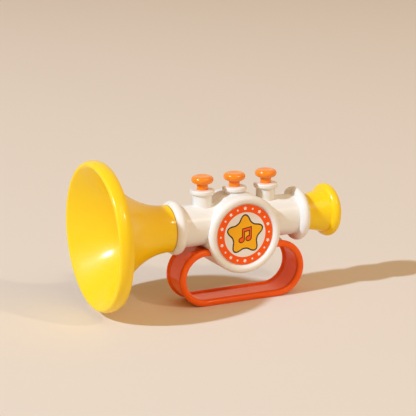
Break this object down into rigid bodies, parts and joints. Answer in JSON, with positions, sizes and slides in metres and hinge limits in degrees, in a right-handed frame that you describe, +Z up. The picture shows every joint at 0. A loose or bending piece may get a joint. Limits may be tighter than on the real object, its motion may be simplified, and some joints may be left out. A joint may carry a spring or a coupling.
{
  "type": "toy horn",
  "caption": "Toy trumpet with a flared bell, a white tube body carrying a round drum and sprung valve buttons, a closed loop handle and a cup mouthpiece.",
  "frame": {"origin": "centre of the bounding box's bottom face, on the surface that the handle stands on", "axes": "+X along the horn from bell to mouthpiece, -Y the side that the round drum faces, +Z up through the valve buttons"},
  "size_m": [0.1641, 0.0918, 0.0956],
  "materials": {
    "yellow_plastic": "glossy moulded ABS",
    "white_plastic": "glossy moulded ABS, warm white",
    "orange_plastic": "glossy moulded ABS",
    "red_orange_plastic": "glossy moulded ABS",
    "label_print": "printed disc, satin",
    "reed_plastic": "satin moulded ABS",
    "reed_brass": "rolled strip",
    "spring_steel": "bright drawn wire",
    "zinc_steel": "zinc plated"
  },
  "bodies": {
    "body": {"bell": "yellow_plastic", "front_shell": "white_plastic", "back_shell": "white_plastic", "handle_loop": "red_orange_plastic", "label_disc": "label_print", "mouthpiece": "yellow_plastic", "reed_holder": "reed_plastic", "reed_shallot": "reed_plastic", "reed_tongue": "reed_brass", "shell_screws": "zinc_steel", "valve_spring_1": "spring_steel", "valve_spring_2": "spring_steel", "valve_spring_3": "spring_steel"},
    "valve_1": {"valve_button_1": "orange_plastic"},
    "valve_2": {"valve_button_2": "orange_plastic"},
    "valve_3": {"valve_button_3": "orange_plastic"}
  },
  "joints": [
    {"name": "valve_1_press", "type": "slide", "parent": "body", "child": "valve_1", "axis": [0, 0, -1], "range_m": [0, 0.003], "stiffness_N_per_m": 250, "springref_m": -0.002, "deforming": ["valve_spring_1"]},
    {"name": "valve_2_press", "type": "slide", "parent": "body", "child": "valve_2", "axis": [0, 0, -1], "range_m": [0, 0.003], "stiffness_N_per_m": 250, "springref_m": -0.002, "deforming": ["valve_spring_2"]},
    {"name": "valve_3_press", "type": "slide", "parent": "body", "child": "valve_3", "axis": [0, 0, -1], "range_m": [0, 0.003], "stiffness_N_per_m": 250, "springref_m": -0.002, "deforming": ["valve_spring_3"]}
  ]
}
